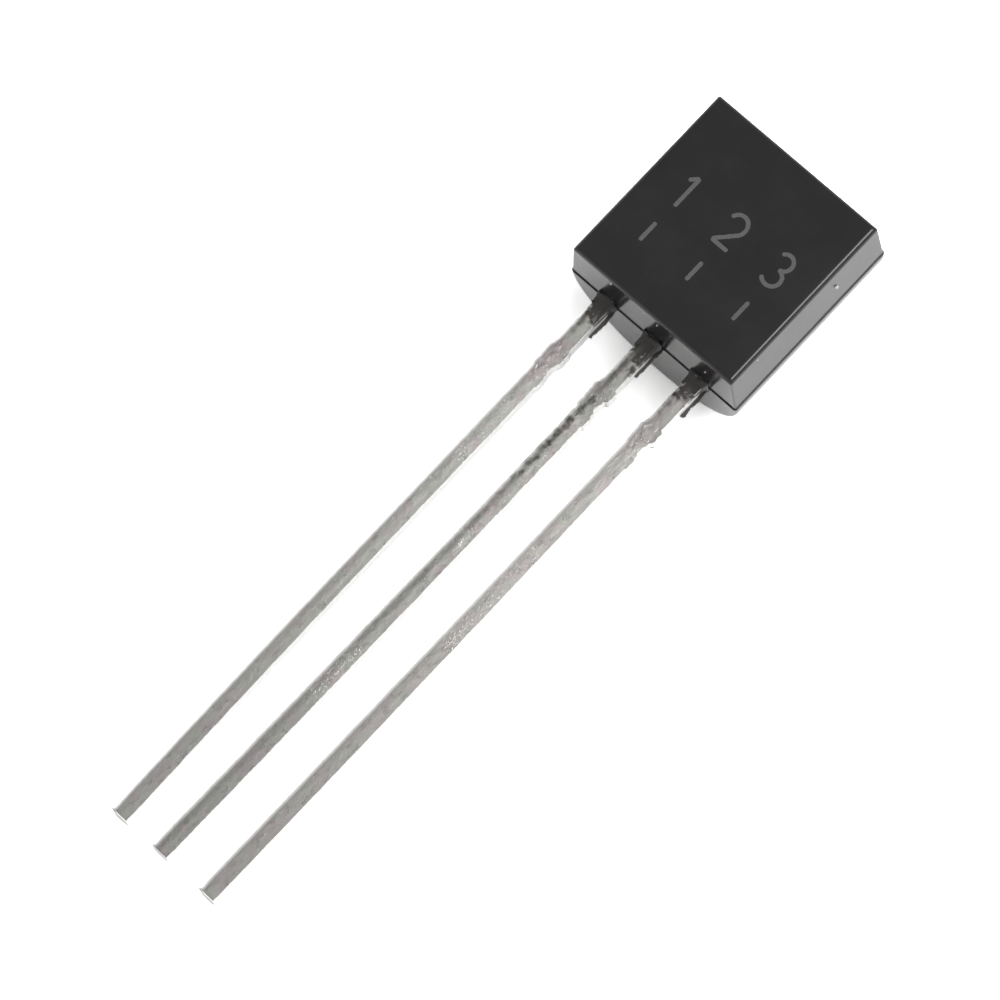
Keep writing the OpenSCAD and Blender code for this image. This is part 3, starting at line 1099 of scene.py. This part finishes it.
def make_world():
    """Plain light from all round, and a sky that gloss sees paler towards the horizon."""
    world = bpy.data.worlds.new("studio")
    world.use_nodes = True
    bpy.context.scene.world = world
    shader = Shader(world.node_tree)
    where = shader.add("ShaderNodeTexCoord")
    height = shader.add("ShaderNodeSeparateXYZ", {"Vector": (where, "Generated")})
    level = spread(shader, (height, "Z"), SKY_HORIZON, SKY_ZENITH, SKY_LOW, SKY_HIGH)
    sky = shader.add("ShaderNodeBackground", {"Color": level})
    plain = shader.add("ShaderNodeBackground", {"Color": grey(1), "Strength": WORLD_LEVEL})
    mix = shader.add("ShaderNodeMixShader", {0: backdrop_rays(shader), 1: (plain, 0), 2: (sky, 0)})
    shader.add("ShaderNodeOutputWorld", {"Surface": (mix, 0)})


def floor_material():
    """White floor that is overexposed, as in the photograph, but keeps its shadows."""
    material = bpy.data.materials.new("floor")
    material.use_nodes = True
    shader = Shader(material.node_tree)
    path = shader.add("ShaderNodeLightPath")
    level = grey(FLOOR_WHITE)
    for ray, value in (("Is Camera Ray", FLOOR_SEEN), ("Is Glossy Ray", FLOOR_MIRRORED),
                       ("Is Transmission Ray", FLOOR_MIRRORED)):
        level = blend(shader, (path, ray), level, grey(value))
    surface = shader.add("ShaderNodeBsdfDiffuse", {"Color": level})
    shader.add("ShaderNodeOutputMaterial", {"Surface": (surface, 0)})
    return material


def make_floor():
    """Floor that the device lies on."""
    half = FLOOR_SIZE / 2
    mesh = bpy.data.meshes.new("floor")
    corners = [(-half, -half, 0), (half, -half, 0), (half, half, 0), (-half, half, 0)]
    mesh.from_pydata(corners, [], [(0, 1, 2, 3)])
    mesh.materials.append(floor_material())
    new_object("floor", mesh)


def make_key():
    """Round soft lamp overhead."""
    lamp = bpy.data.lights.new("key", "AREA")
    lamp.shape = "DISK"
    lamp.size = 2 * KEY_RADIUS
    lamp.energy = KEY_WATTS
    key = bpy.data.objects.new("key", lamp)
    direction = Vector(KEY_DIRECTION).normalized()
    key.location = direction * KEY_DISTANCE
    key.rotation_euler = direction.to_track_quat("Z", "Y").to_euler()
    bpy.context.scene.collection.objects.link(key)


def make_camera():
    """Camera at the photograph's viewing angle."""
    data = bpy.data.cameras.new("camera")
    data.lens = CAMERA_LENS
    data.sensor_width = CAMERA_SENSOR
    data.clip_start, data.clip_end = CAMERA_CLIP
    camera = bpy.data.objects.new("camera", data)
    camera.location = CAMERA_PLACE
    camera.rotation_euler = [radians(a) for a in CAMERA_TURN]
    bpy.context.scene.collection.objects.link(camera)
    bpy.context.scene.camera = camera


# Making

# Tint, contrast and the dark colour of stains and painted shade of each lead
LEAD_LOOKS = {
    "collector_pin": ((0.62, 0.62, 0.58, 1), 0.22, (0.085, 0.078, 0.074, 1)),
    "base_pin": ((0.6, 0.6, 0.56, 1), 0.35, (0.085, 0.082, 0.074, 1)),
    "emitter_pin": ((0.63, 0.61, 0.58, 1), 0.18, (0.095, 0.088, 0.085, 1)),
}
LEAD_SHARP = 40

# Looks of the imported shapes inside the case
INNER = {
    "silicon_die": silicon,
    "die_paste": silver,
    "base_bond_wire": gold,
    "emitter_bond_wire": gold,
}


def make_case():
    """Case with its skins, fins and gate scar, all one closed piece."""
    material = new_material("epoxy_black", epoxy)
    extras = []
    for lead in LEADS:
        right = lead.x + ROOT_W / 2
        left = lead.x - ROOT_W / 2 + ROOT_TRIM
        extras.append(creep_mesh(lead.x, lead.seed, *lead.tails))
        extras.append(fin_mesh(right - FIN_ROOT, 1, FIN_L, FIN_W + FIN_ROOT, lead.seed + 3))
        extras.append(fin_mesh(left + FIN_ROOT, -1, lead.left_fin, LEFT_FIN_W + FIN_ROOT, lead.seed + 4))
    case = joined("case", case_mesh(), extras + [gate_mesh()])
    mark_creep(case)
    place_piece("moulded_case", case, material, ["mould_body"])


def make_leads():
    """The three leads, each with its own plating."""
    for lead in LEADS:
        plating = new_material(lead.name + "_tin", tin(*LEAD_LOOKS[lead.name]))
        piece = place_piece(lead.name, lead_mesh(lead), plating, [lead.node], LEAD_SHARP)
        wear_and_shade_lead(piece, lead)


def make_details():
    """Pin numbers and dust on the case."""
    place_piece("pin_numbers", marking_mesh(), new_material("laser_grey", laser_grey))
    place_piece("dust_flecks", fleck_mesh(), new_material("dust", dust))


def dress_inner():
    """Materials of what lies inside the case."""
    for node, build in INNER.items():
        mesh = frame["nodes"][node].data
        mesh.materials.clear()
        mesh.materials.append(new_material(node + "_look", build))


make_camera()
make_world()
make_floor()
make_key()
bpy.context.scene.view_settings.view_transform = "Standard"
make_case()
make_leads()
make_details()
dress_inner()
